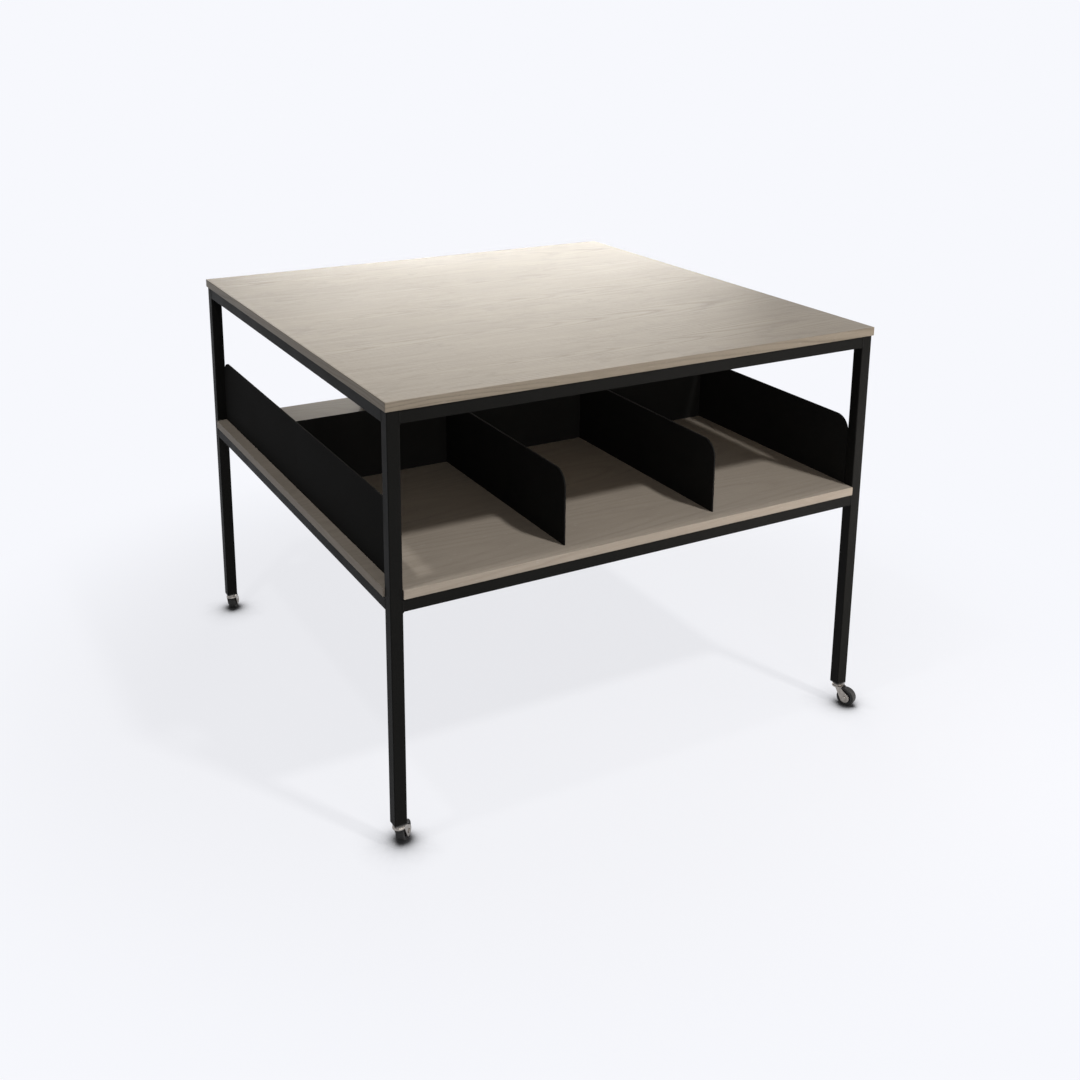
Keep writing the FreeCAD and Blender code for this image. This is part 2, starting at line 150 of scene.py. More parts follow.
def shades(tree, value, stops):
    """A colour ramp from (place, (r, g, b)) stops."""
    node = put(tree, "ShaderNodeValToRGB", {0: value})
    ramp = node.color_ramp
    while len(ramp.elements) < len(stops):
        ramp.elements.new(0.5)
    for element, (place, colour) in zip(ramp.elements, stops):
        element.position = place
        element.color = (*colour, 1.0)
    return node.outputs[0]


def greys(*stops):
    """(place, brightness) stops as the colours that shades takes."""
    return [(place, (level, level, level)) for place, level in stops]


def scaled(colour, factor, lift=0.0):
    return tuple(factor * part + lift for part in colour)


def rounded_edges(tree, radius):
    """A normal that turns softly over sharp edges."""
    return put(tree, "ShaderNodeBevel", {"Radius": radius}, samples=4).outputs[0]


def bumped(tree, shader, height, distance, strength, under=None):
    inputs = {"Strength": strength, "Distance": distance, "Height": height}
    if under is not None:
        inputs["Normal"] = under
    bump = put(tree, "ShaderNodeBump", inputs)
    tree.links.new(bump.outputs[0], shader.inputs["Normal"])


def feed(tree, shader, colour, roughness):
    tree.links.new(colour, shader.inputs["Base Color"])
    tree.links.new(roughness, shader.inputs["Roughness"])


# ---------------------------------------------------------------- oak
LEAF = 0.226           # width of one veneer leaf
LEAF_START = LEAF / 2  # one leaf lies along the middle
RING = 0.0075          # spacing of the growth rings in the log
CUT_DEPTH = 0.024      # from the heart of the log to the cut, at the middle of the board
CUT_SLOPE = 0.050      # how fast the cut runs out of the log
EDGE_CUT = 0.31        # which part of the flitch the edge strips show
EDGE_LINE = 0.5519     # from the middle to the glue line of the edge strips
SEAM_WIDTH = 0.0004    # glue line between two leaves

# How far the rings stray: sideways and in depth with the wander, sideways with the ripple, and
# from leaf to leaf across the grain and along it.
WANDER_SIDE, WANDER_DEPTH, RIPPLE_SIDE = 0.060, 0.045, 0.0065
LEAF_SIDE, LEAF_ALONG = 0.05, 0.5

oak_light = (0.405, 0.357, 0.294)
oak_mid = (0.343, 0.299, 0.242)
oak_dark = (0.238, 0.201, 0.157)
pore_colour = (0.140, 0.116, 0.090)
flake_colour = (0.50, 0.46, 0.40)
glue_colour = (0.12, 0.10, 0.085)

# Each pattern of the grain: waves per metre along it and across it, its layer of the noise
# (None where each leaf has its own), and the noise's detail, roughness and distortion.
grain_patterns = {
    "wander": (1.5, 5.0, None, 2.0, 0.5, 0.0),
    "ripple": (9.0, 38.0, None, 2.0, 0.55, 0.0),
    "patch": (3.0, 16.0, 3.1, 2.0, 0.5, 0.0),
    "fibre": (10.0, 420.0, 0.7, 3.0, 0.6, 0.0),
    "pore": (130.0, 2100.0, 5.0, 1.0, 0.5, 0.0),
    "flake": (55.0, 260.0, 9.0, 1.0, 0.4, 0.0),
    "streak": (4.2, 62.0, 6.3, 4.0, 0.62, 0.35),
    "fleck": (15.0, 68.0, 8.8, 3.0, 0.60, 0.9),
    "fleck_group": (4.0, 9.0, 2.2, 2.0, 0.5, 0.0),
}


def grain(tree, along, across, kind, leaf_layer=None):
    """One of the grain's patterns, as noise drawn out along the grain."""
    waves_along, waves_across, layer, detail, rough, distortion = grain_patterns[kind]
    place = vector(tree, times(tree, along, waves_along), times(tree, across, waves_across),
                   leaf_layer if layer is None else layer)
    return noise(tree, place, 1.0, detail, rough, distortion)


def growth_rings(tree, along, across, leaf_place, chances):
    """Early wood of the rings as the cut meets them; returns (early wood, place across)."""
    first, second, third = chances
    wander = minus(tree, grain(tree, along, across, "wander", first), 0.5)
    ripple = minus(tree, grain(tree, along, across, "ripple", second), 0.5)
    side = times_plus(tree, wander, WANDER_SIDE, leaf_place)
    side = times_plus(tree, ripple, RIPPLE_SIDE, side)
    side = times_plus(tree, minus(tree, second, 0.5), LEAF_SIDE, side)

    # the cut runs slightly out of the log, which draws the long arches
    start = times_plus(tree, third, LEAF_ALONG, along)
    depth = times_plus(tree, start, CUT_SLOPE, CUT_DEPTH)
    depth = times_plus(tree, wander, WANDER_DEPTH, depth)
    squares = calc(tree, "ADD", times(tree, side, side), times(tree, depth, depth))
    ring = calc(tree, "FRACT", calc(tree, "DIVIDE", calc(tree, "SQRT", squares), RING))
    early = shades(tree, ring, greys((0.0, 1), (0.10, 0.85), (0.34, 0.16), (0.80, 0), (1.0, 0.75)))
    return early, side


def oak_veneer(name, shift, tone_with_painted_light, edge_tone_with_painted_shade, contrast, lacquer):
    """Grey-washed crown-cut oak: leaves side by side, grain along X, strips along the edges. Its tones also paint
    light: each board lighter or darker for the light on it, the edges darker as painted shade.
    """
    material, tree, shader = new_finish(name)
    place = put(tree, "ShaderNodeTexCoord").outputs["Object"]
    x, y, z = put(tree, "ShaderNodeSeparateXYZ", {0: place}).outputs
    facing = put(tree, "ShaderNodeNewGeometry").outputs["True Normal"]
    facing_x, _, facing_z = put(tree, "ShaderNodeSeparateXYZ", {0: facing}).outputs
    on_edge = calc(tree, "LESS_THAN", size_of(tree, facing_z), 0.7)
    on_side = calc(tree, "GREATER_THAN", size_of(tree, facing_x), 0.7)
    along = mix_value(tree, on_side, x, y)
    across = mix_value(tree, on_edge, y, calc(tree, "ADD", z, EDGE_CUT))
    along = calc(tree, "ADD", along, shift)

    # the leaves side by side, each with chances of its own for where it lay in the log
    from_start = calc(tree, "ADD", across, LEAF_START + shift * 0.1)
    in_leaves = calc(tree, "DIVIDE", from_start, LEAF)
    leaf = calc(tree, "FLOOR", in_leaves)
    leaf_place = times(tree, minus(tree, calc(tree, "FRACT", in_leaves), 0.5), LEAF)
    chance = put(tree, "ShaderNodeTexWhiteNoise", {"W": leaf}, noise_dimensions="1D")
    chances = put(tree, "ShaderNodeSeparateColor", {0: chance.outputs["Color"]}).outputs
    early, side = growth_rings(tree, along, across, leaf_place, chances)

    patch = grain(tree, along, across, "patch")
    early = times(tree, early, spread(tree, patch, 0.34, 0.66, 0.22, 1.0))
    fibre = grain(tree, along, across, "fibre")
    pore_gate = mix_value(tree, early, 0.70, 0.575)
    pore = grain(tree, along, across, "pore")
    pores = spread(tree, minus(tree, pore, pore_gate), 0.0, 0.06)
    flakes = spread(tree, grain(tree, along, across, "flake"), 0.68, 0.76, 0.0, 0.35)

    # colour
    body = times_plus(tree, fibre, 0.50, times(tree, patch, 0.50))
    colour = shades(tree, body, [(0.28, oak_mid), (0.72, oak_light)])
    colour = mix_colour(tree, times(tree, early, 0.60 * contrast), colour, (*oak_dark, 1))
    colour = mix_colour(tree, times(tree, pores, 0.60 * contrast), colour, (*pore_colour, 1))
    colour = mix_colour(tree, flakes, colour, (*flake_colour, 1))

    # brightness: of each leaf, of soft streaks, and of short darker flecks in loose groups
    bright = spread(tree, chances[0], 0.0, 1.0, 0.965, 1.035)
    streaks = spread(tree, grain(tree, along, side, "streak"), 0.36, 0.64,
                     1.0 - 0.055 * contrast, 1.0 + 0.04 * contrast)
    bright = times(tree, bright, streaks)
    flecks = spread(tree, grain(tree, along, side, "fleck"), 0.50, 0.66)
    groups = spread(tree, grain(tree, along, across, "fleck_group"), 0.38, 0.60, 0.15, 1.0)
    flecks = times(tree, flecks, groups)
    unflecked = 1.015
    bright = times(tree, bright, spread(tree, flecks, 0.0, 1.0, unflecked,
                                        unflecked - 0.15 * contrast))
    # the edge strips take one tone, partly their own darker colour and partly painted shade for the light on the
    # edges
    bright = mix_value(tree, on_edge, bright, edge_tone_with_painted_shade)
    # each board's tone also paints light: the shelf lighter and bluer for the shade under the top, the top darker
    # for the brighter light on it
    brightness_with_painted_light = vector(tree, *[times(tree, bright, part) for part in tone_with_painted_light])
    colour = mix_colour(tree, 1.0, colour, brightness_with_painted_light, "MULTIPLY")

    # glue lines: between leaves, and between the edge strips and the faces
    to_seam = minus(tree, LEAF / 2, size_of(tree, leaf_place))
    seam = spread(tree, to_seam, 0.0, SEAM_WIDTH, 0.30, 0.0)
    seam = times(tree, seam, minus(tree, 1.0, on_edge))
    reach = calc(tree, "MAXIMUM", size_of(tree, x), size_of(tree, y))
    from_line = size_of(tree, minus(tree, reach, EDGE_LINE))
    strip = spread(tree, from_line, 0.00012, 0.0003, 0.55, 0.0)
    lines = calc(tree, "MAXIMUM", seam, strip)
    colour = mix_colour(tree, lines, colour, (*glue_colour, 1))

    # matt lacquer: rougher over the pores, a little uneven from wiping
    cloudy = noise(tree, place, 5.0, 3.0, 0.6)
    rough = spread(tree, cloudy, 0.3, 0.7, 0.32, 0.35)
    rough = times_plus(tree, pores, 0.12, rough)
    height = times_plus(tree, pores, -1.0, times(tree, fibre, 0.35))
    height = times_plus(tree, early, -0.25, height)
    bumped(tree, shader, height, 0.00005, 0.25)
    feed(tree, shader, colour, rough)
    shader.inputs["Specular IOR Level"].default_value = lacquer
    return material


# ---------------------------------------------------------------- powder coat
def powder_coat(name, colour, rough, speck, gloss):
    """Black fine-textured powder coat, with a few dull scuffs."""
    material, tree, shader = new_finish(name)
    place = put(tree, "ShaderNodeTexCoord").outputs["Object"]
    fine = noise(tree, place, 2600.0, 2.0, 0.6)
    orange_peel = noise(tree, place, 420.0, 1.0, 0.4)
    cloudy = noise(tree, place, 9.0, 3.0, 0.6)
    scuffs = spread(tree, stretched_noise(tree, place, (24, 24, 95), 4.0, 0.65, 0.6),
                    0.66, 0.80, 0.0, 0.5)

    tint = spread(tree, cloudy, 0.3, 0.7, 0.88, 1.12)
    shaded = mix_colour(tree, 1.0, (*colour, 1), vector(tree, tint, tint, tint), "MULTIPLY")
    speckle = spread(tree, fine, 0.52, 0.70, 0.0, speck)
    shaded = mix_colour(tree, speckle, shaded, (*scaled(colour, 3.2), 1))
    shaded = mix_colour(tree, times(tree, scuffs, 0.35), shaded, (*scaled(colour, 2.6, 0.004), 1))

    roughness = spread(tree, cloudy, 0.3, 0.7, rough - 0.05, rough + 0.05)
    roughness = times_plus(tree, scuffs, 0.12, roughness)
    height = times_plus(tree, orange_peel, 0.8, times(tree, fine, 0.5))
    bumped(tree, shader, height, 0.00016, 0.8, rounded_edges(tree, 0.0006))
    feed(tree, shader, shaded, roughness)
    shader.inputs["Specular IOR Level"].default_value = gloss
    return material


# ---------------------------------------------------------------- castor and fixing finishes
def bright_zinc(name, colour, rough):
    """Zinc plate on pressed steel: bright, faintly clouded, with fine draw marks."""
    material, tree, shader = new_finish(name)
    place = put(tree, "ShaderNodeTexCoord").outputs["Object"]
    cloudy = noise(tree, place, 160.0, 3.0, 0.6)
    marks = stretched_noise(tree, place, (900, 900, 120), 2.0, 0.6)
    shaded = shades(tree, cloudy, [(0.30, scaled(colour, 0.72)), (0.68, colour)])
    roughness = calc(tree, "ADD", spread(tree, cloudy, 0.3, 0.7, rough + 0.07, rough - 0.05),
                     spread(tree, marks, 0.4, 0.7, 0.0, 0.08))
    bumped(tree, shader, marks, 0.00003, 0.5, rounded_edges(tree, 0.0004))
    feed(tree, shader, shaded, roughness)
    shader.inputs["Metallic"].default_value = 1.0
    return material


def moulded(name, colour, rough, scale, depth):
    """Moulded nylon or rubber with a fine spark-eroded surface."""
    material, tree, shader = new_finish(name)
    place = put(tree, "ShaderNodeTexCoord").outputs["Object"]
    fine = noise(tree, place, scale, 2.0, 0.6)
    cloudy = noise(tree, place, 130.0, 3.0, 0.6)
    shaded = shades(tree, cloudy, [(0.35, colour), (0.80, scaled(colour, 1.7, 0.003))])
    roughness = spread(tree, cloudy, 0.3, 0.7, rough - 0.06, rough + 0.08)
    bumped(tree, shader, fine, depth, 0.6, rounded_edges(tree, 0.0004))
    feed(tree, shader, shaded, roughness)
    shader.inputs["Specular IOR Level"].default_value = 0.35
    return material


finishes = {
    "powder_coated_steel": powder_coat(
        "satin_black_tube", (0.0075, 0.0075, 0.0070), rough=0.50, speck=0.30, gloss=0.035),
    "powder_coated_sheet": powder_coat(
        "matt_black_sheet", (0.0145, 0.0143, 0.0138), rough=0.66, speck=0.22, gloss=0.005),
    # the boards' tones are partly painted light: the shelf lighter and bluer for the shade under the top, the top
    # darker for its light, the edges darker as painted shade
    "oak_veneer_top": oak_veneer(
        "grey_oak_top", shift=0.0, tone_with_painted_light=(0.92, 0.902, 0.882), edge_tone_with_painted_shade=0.84,
        contrast=1.0, lacquer=0.042),
    "oak_veneer_shelf": oak_veneer(
        "grey_oak_shelf", shift=2.37, tone_with_painted_light=(1.06, 1.055, 1.09), edge_tone_with_painted_shade=0.94,
        contrast=0.42, lacquer=0.015),
    "zinc_fixings": bright_zinc("zinc_fixings", (0.62, 0.61, 0.58), rough=0.30),
    # the castors' zinc is darker than the fixings' zinc as painted shade, for the darker surroundings that the
    # castors reflect
    "castor_steel": bright_zinc("zinc_castor_steel", (0.36, 0.335, 0.305), rough=0.30),
    "castor_socket_plastic": moulded(
        "black_nylon_socket", (0.012, 0.012, 0.012), rough=0.50, scale=1800.0, depth=0.00003),
    "castor_hub_plastic": moulded(
        "dark_nylon_hub", (0.022, 0.022, 0.024), rough=0.42, scale=1600.0, depth=0.00003),
    "castor_rubber": moulded(
        "black_rubber_tyre", (0.011, 0.011, 0.0105), rough=0.62, scale=1300.0, depth=0.00005),
}

for part in frame["record"]["subparts"]:
    mesh = nodes[part["node"]].data
    mesh.materials.clear()
    mesh.materials.append(finishes[part["material_slot"]])

# ---------------------------------------------------------------- piece helpers
SAME_POINT = 1e-6      # points nearer than this are one


def new_piece(name, shape, slot, body, stands_for=None):
    """Turns a bmesh into a piece that rides on a body in one of the record's finishes."""
    bmesh.ops.remove_doubles(shape, verts=shape.verts, dist=SAME_POINT)
    bmesh.ops.recalc_face_normals(shape, faces=shape.faces)
    mesh = bpy.data.meshes.new(name)
    shape.to_mesh(mesh)
    shape.free()
    mesh.polygons.foreach_set("use_smooth", [True] * len(mesh.polygons))
    mesh.set_sharp_from_angle(angle=math.radians(35))
    piece = bpy.data.objects.new(name, mesh)
    bpy.context.scene.collection.objects.link(piece)
    mesh.materials.append(finishes[slot])
    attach(piece, body)
    if stands_for:
        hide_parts(stands_for)


def drawn_on(shape, faces, start=False):
    """Extrudes faces where they are; returns the new faces and points.

    At the start of a solid the old faces stay and close it.
    """
    made = bmesh.ops.extrude_face_region(shape, geom=faces)["geom"]
    if not start:
        bmesh.ops.delete(shape, geom=faces, context="FACES")
    return ([item for item in made if isinstance(item, bmesh.types.BMFace)],
            [item for item in made if isinstance(item, bmesh.types.BMVert)])


def spun(shape, outline, axis, segments):
    """Turns an outline of (along, radius) points about an axis through the origin."""
    side = axis.orthogonal().normalized()
    points = [shape.verts.new(axis * along + side * radius) for along, radius in outline]
    lines = [shape.edges.new(pair) for pair in zip(points, points[1:])]
    bmesh.ops.spin(shape, geom=points + lines, cent=(0, 0, 0), axis=axis,
                   angle=2 * math.pi, steps=segments, use_merge=True)
    bmesh.ops.remove_doubles(shape, verts=shape.verts, dist=SAME_POINT)


def made_once(shape):
    """Keeps a shape as a mesh, to be set in many places."""
    mesh = bpy.data.meshes.new("made_once")
    shape.to_mesh(mesh)
    shape.free()
    return mesh


def set_in(whole, mesh, place, right, back, up):
    """Adds a mesh with its X, Y and Z along right, back and up, and its origin at place."""
    before = len(whole.verts)
    whole.from_mesh(mesh)
    whole.verts.ensure_lookup_table()
    turn = Matrix([Vector(way) for way in (right, back, up)]).transposed().to_4x4()
    bmesh.ops.transform(whole, matrix=Matrix.Translation(place) @ turn, verts=whole.verts[before:])


# ---------------------------------------------------------------- weld beads
WELD_LEG = 0.0040      # how far a fillet reaches along each face of its corner
RIPPLE = 0.0018        # from one ripple of a bead to the next
RUN_OUT = 0.0008       # a ground seam lies this far from the leg's inner face
fillet = [(-0.25, -0.25), (1.0, -0.25), (0.97, 0.14), (0.66, 0.52), (0.52, 0.66), (0.14, 0.97),
          (-0.25, 1.0)]
seam = [(-0.62, -0.06), (-0.34, 0.10), (0.0, 0.15), (0.34, 0.10), (0.62, -0.06), (0.0, -0.50)]


def weld_bead(section, size, swell):
    """A rippled bead up Z, as long as a tube's flat; its section is in units of size."""
    shape = bmesh.new()
    faces = [shape.faces.new([shape.verts.new((a * size, b * size, 0)) for a, b in section])]
    length = TUBE - 2 * TUBE_CORNER
    steps = round(length / RIPPLE) * 4
    last = 1.0
    for step in range(1, steps + 1):
        faces, points = drawn_on(shape, faces, start=step == 1)
        bmesh.ops.translate(shape, verts=points, vec=(0, 0, length / steps))
        ends = min(1.0, 0.62 + 0.13 * min(step, steps - step))
        wanted = ends * (1.0 - swell * (0.5 + 0.5 * math.cos(math.pi * step / 2)))
        bmesh.ops.scale(shape, verts=points, vec=(wanted / last, wanted / last, 1))
        last = wanted
    return made_once(shape)


fillet_bead = weld_bead(fillet, WELD_LEG, swell=0.12)
seam_bead = weld_bead(seam, WELD_LEG, swell=0.05)


def frame_welds(board):
    """Every bead of one level: at the corners, and where the cross rail meets the side rails."""
    whole = bmesh.new()
    underside = rail_tops[board] - TUBE
    flat = TUBE / 2 - TUBE_CORNER
    start = LEG_AXIS - flat
    joint = LEG_INNER + RUN_OUT
    rise = underside + TUBE_CORNER
    down, up = (0, 0, -1), (0, 0, 1)
    for sx, sy in corners.values():
        out_x, out_y, in_x, in_y = (sx, 0, 0), (0, sy, 0), (-sx, 0, 0), (0, -sy, 0)
        set_in(whole, fillet_bead, (sx * LEG_INNER, sy * start, underside), in_x, down, out_y)
        set_in(whole, fillet_bead, (sx * start, sy * LEG_INNER, underside), in_y, down, out_x)
        set_in(whole, fillet_bead, (sx * LEG_INNER, sy * LEG_INNER, rise), in_x, in_y, up)
        # ground seams on the outer faces, where the rail ends meet the legs' rounded corners
        set_in(whole, seam_bead, (sx * joint, sy * LEG_OUTER, rise), out_x, out_y, up)
        set_in(whole, seam_bead, (sx * LEG_OUTER, sy * joint, rise), out_y, out_x, up)
    for sx in (-1, 1):
        in_x = (-sx, 0, 0)
        set_in(whole, fillet_bead, (sx * LEG_INNER, -flat, underside), in_x, down, (0, 1, 0))
        for sy in (-1, 1):
            place = (sx * LEG_INNER, sy * TUBE / 2, rise)
            set_in(whole, fillet_bead, place, in_x, (0, sy, 0), up)
    new_piece(f"{board}_frame_welds", whole, "powder_coated_steel", "table")


frame_welds("top")
frame_welds("shelf")


# ---------------------------------------------------------------- fixings
def cross_head(shape, head_radius, head_height, shank, segments):
    """A pan head with a cross recess, on the shank whose outline is given, along +Z."""
    outline = shank + [
        (0.0, head_radius),
        (-0.36 * head_height, head_radius),
        (-0.70 * head_height, 0.93 * head_radius),
        (-0.92 * head_height, 0.76 * head_radius),
        (-head_height, 0.56 * head_radius),
    ]
    spun(shape, outline, Vector((0, 0, 1)), segments)
    ring = [edge for edge in shape.edges if edge.is_boundary]
    arm, web = 0.46 * head_radius, 0.11 * head_radius
    cross = []
    for turn in range(4):
        angle = math.radians(90 * turn)
        for x, y in ((arm, -web), (arm, web), (web, web)):
            cross.append(shape.verts.new((x * math.cos(angle) - y * math.sin(angle),
                                          x * math.sin(angle) + y * math.cos(angle),
                                          -head_height)))
    recess = shape.faces.new(cross)
    bmesh.ops.bridge_loops(shape, edges=ring + list(recess.edges))
    _, points = drawn_on(shape, [recess])
    bmesh.ops.translate(shape, verts=points, vec=(0, 0, 0.62 * head_height))
    bmesh.ops.scale(shape, verts=points, vec=(0.45, 0.45, 1.0))


def thread(shape, radius, start, length, pitch):
    """A helical ridge round the Z axis."""
    low, half, crest = 0.84 * radius, 0.46 * pitch, 0.1 * pitch
    section = [(low, start - half), (low, start + half), (radius, start + crest),
               (radius, start - crest)]
    face = shape.faces.new([shape.verts.new((r, 0, z)) for r, z in section])
    turns = length / pitch
    steps = round(16 * turns)
    bmesh.ops.spin(shape, geom=[face], cent=(0, 0, 0), axis=(0, 0, 1),
                   dvec=(0, 0, length / steps), angle=2 * math.pi * turns, steps=steps)


def wood_screw(head_radius, head_height, radius, length, segments):
    """Its head's seat at the origin and its point up along +Z."""
    shape = bmesh.new()
    core = 0.72 * radius
    plain_end, core_start, thread_start, pitch = 0.0012, 0.0016, 0.0026, 0.0018
    shank = [(length, 0.0), (length - 1.8 * radius, core), (core_start, core),
             (plain_end, radius), (0.0, radius)]
    cross_head(shape, head_radius, head_height, shank, segments)
    thread(shape, radius, thread_start, length - 2.2 * radius - thread_start, pitch)
    return made_once(shape)


def machine_bolt(head_radius, head_height, radius, length):
    """Its head's seat at the origin and its end up along +Z."""
    shape = bmesh.new()
    core = 0.86 * radius
    shank = [(length, 0.0), (length, 0.7 * core), (length - 0.3 * core, core), (0.0004, core),
             (0.0, radius)]
    cross_head(shape, head_radius, head_height, shank, segments=24)
    thread(shape, radius, start=0.0012, length=length - 0.0020, pitch=0.0007)
    return made_once(shape)


def hex_nut(flats, height, bore):
    """A nut along +Z from the origin, its corners chamfered at both faces."""
    shape = bmesh.new()
    loops = []
    for radius in (bore, flats / 2):
        made = bmesh.ops.create_circle(shape, segments=36, radius=radius)
        loops += list({edge for point in made["verts"] for edge in point.link_edges})
    bmesh.ops.bridge_loops(shape, edges=loops)
    faces = list(shape.faces)
    chamfer = 0.00012
    slope = math.tan(math.radians(30))
    for number, rise in enumerate((chamfer, height - 2 * chamfer, chamfer)):
        faces, points = drawn_on(shape, faces, start=number == 0)
        bmesh.ops.translate(shape, verts=points, vec=(0, 0, rise))
        if number == 2:
            break
        for point in points:
            if point.co.xy.length > (bore + flats / 2) / 2:
                turn = math.atan2(point.co.y, point.co.x) % math.radians(60) - math.radians(30)
                reach = flats / 2 / math.cos(turn)
                drop = (reach - flats / 2) * slope
                point.co.xy = point.co.xy.normalized() * reach
                point.co.z += drop if number == 0 else -drop
    return made_once(shape)


plain = ((1, 0, 0), (0, 1, 0), (0, 0, 1))      # a shape that stands as it was made
to_right = ((0, 1, 0), (0, 0, 1), (1, 0, 0))   # a shape whose Z is laid along X

TAB_X, TAB_Y = 0.1755, 0.260   # the dividers' tabs through the shelf
HALF_SHEET = 0.0015            # half the thickness of a divider
CLEAT_SHEET = 0.0020
CLEAT_FLANGE = 0.022           # a cleat's leg under the shelf
CLEAT_DROP = 0.013             # its leg down the tab
CLEAT_HALF_WIDTH = 0.013
CLEAT_SCREW = 0.013            # from the tab to the wood screw in the cleat's upper leg
NUT_HEIGHT = 0.0032
BOLT_END = 0.0012              # how far the bolt stands out of its nut
SHELF_UNDER = rail_tops["shelf"]
BOLT_LEVEL = SHELF_UNDER - 0.008
OUTER_RAIL_SCREWS = 0.330      # from the middle of each outer rail
CROSS_RAIL_SCREWS = 0.250
SEAM_SCREWS = 0.006            # on the cross rail, a screw on each side of the shelf's seam
tab_places = [(side * TAB_X, end * TAB_Y) for side in (-1, 1) for end in (-1, 1)]


def board_fixings(board):
    """The screws that come up through the rails into one board."""
    whole = bmesh.new()
    seat = rail_tops[board] - TUBE_WALL
    offsets = (0.0,) if board == "top" else (-SEAM_SCREWS, SEAM_SCREWS)
    places = [(sign * CROSS_RAIL_SCREWS, offset) for sign in (-1, 1) for offset in offsets]
    for sign in (-1, 1):
        for end in (-OUTER_RAIL_SCREWS, OUTER_RAIL_SCREWS):
            places += [(end, sign * LEG_AXIS), (sign * LEG_AXIS, end)]
    screw = wood_screw(head_radius=0.0040, head_height=0.0024, radius=0.0020, length=0.0145,
                       segments=16)
    for x, y in places:
        set_in(whole, screw, (x, y, seat), *plain)
    new_piece(f"{board}_board_screws", whole, "zinc_fixings", "table", f"{board}_screws")


def cleat_fixings():
    """The bolt, nut and wood screw of each cleat."""
    bolts, nuts, screws = bmesh.new(), bmesh.new(), bmesh.new()
    bolt = machine_bolt(head_radius=0.0038, head_height=0.0022, radius=0.0020,
                        length=2 * HALF_SHEET + CLEAT_SHEET + NUT_HEIGHT + BOLT_END)
    nut = hex_nut(flats=0.0070, height=NUT_HEIGHT, bore=0.0019)
    screw = wood_screw(head_radius=0.0035, head_height=0.0018, radius=0.00175, length=0.0140,
                       segments=24)
    for x, y in tab_places:
        face = x + HALF_SHEET
        set_in(bolts, bolt, (x - HALF_SHEET, y, BOLT_LEVEL), *to_right)
        set_in(nuts, nut, (face + CLEAT_SHEET, y, BOLT_LEVEL), *to_right)
        set_in(screws, screw, (face + CLEAT_SCREW, y, SHELF_UNDER - CLEAT_SHEET), *plain)
    new_piece("cleat_cross_head_bolts", bolts, "zinc_fixings", "table", "cleat_bolts")
    new_piece("cleat_hex_nuts", nuts, "zinc_fixings", "table", "cleat_nuts")
    new_piece("cleat_wood_screws", screws, "zinc_fixings", "table", "cleat_screws")


def round_off(shape, x, z, way, radius, steps):
    """Rounds the edges that run along a way and pass through a place in X and Z."""
    def passes(edge):
        middle = (edge.verts[0].co + edge.verts[1].co) / 2
        lies = (edge.verts[0].co - edge.verts[1].co).normalized()
        near = abs(middle.x - x) < 2e-4 and abs(middle.z - z) < 2e-4
        return near and abs(lies.dot(Vector(way))) > 0.99

    bmesh.ops.bevel(shape, geom=[edge for edge in shape.edges if passes(edge)], offset=radius,
                    offset_type="OFFSET", segments=steps, profile=0.5, affect="EDGES",
                    material=-1)


def bent_cleats():
    """Each cleat folded from one strip, with its bend and its free corners rounded."""
    whole = bmesh.new()
    along_x, along_y, along_z = (1, 0, 0), (0, 1, 0), (0, 0, 1)
    for x, y in tab_places:
        shape = bmesh.new()
        near, far = x + HALF_SHEET, x + HALF_SHEET + CLEAT_FLANGE
        low = SHELF_UNDER - CLEAT_DROP
        inside_x, inside_z = near + CLEAT_SHEET, SHELF_UNDER - CLEAT_SHEET
        outline = [(near, SHELF_UNDER), (near, low), (inside_x, low), (inside_x, inside_z),
                   (far, inside_z), (far, SHELF_UNDER)]
        face = shape.faces.new(
            [shape.verts.new((px, y - CLEAT_HALF_WIDTH, pz)) for px, pz in outline])
        _, points = drawn_on(shape, [face], start=True)
        bmesh.ops.translate(shape, verts=points, vec=(0, 2 * CLEAT_HALF_WIDTH, 0))
        round_off(shape, inside_x, inside_z, along_y, radius=0.0010, steps=4)
        round_off(shape, near, SHELF_UNDER, along_y, radius=0.0026, steps=5)
        round_off(shape, far, SHELF_UNDER - CLEAT_SHEET / 2, along_z, radius=0.0040, steps=5)
        round_off(shape, near + CLEAT_SHEET / 2, low, along_x, radius=0.0035, steps=5)
        set_in(whole, made_once(shape), (0, 0, 0), *plain)
    new_piece("bent_panel_cleats", whole, "powder_coated_sheet", "table", "panel_cleats")


board_fixings("top")
board_fixings("shelf")
cleat_fixings()
bent_cleats()

# ---------------------------------------------------------------- wheels
RIBS = 5                           # on each side of a hub
FIRST_RIB = 18                     # degrees from upright
RIB_SIZE = (0.0078, 0.0015, 0.0030)
RIB_PLACE = (0.0089, 0, 0.0048)    # out from the axle, and up from the wheel's middle


def hub_rib():
    """One rib along X from the boss to the rim, standing on the web."""
    shape = bmesh.new()
    bmesh.ops.create_cube(shape, size=1.0)
    bmesh.ops.scale(shape, verts=shape.verts, vec=RIB_SIZE)
    bmesh.ops.bevel(shape, geom=list(shape.edges), offset=0.00035, segments=2, profile=0.5,
                    affect="EDGES", material=-1)
    bmesh.ops.translate(shape, verts=shape.verts, vec=RIB_PLACE)
    return made_once(shape)


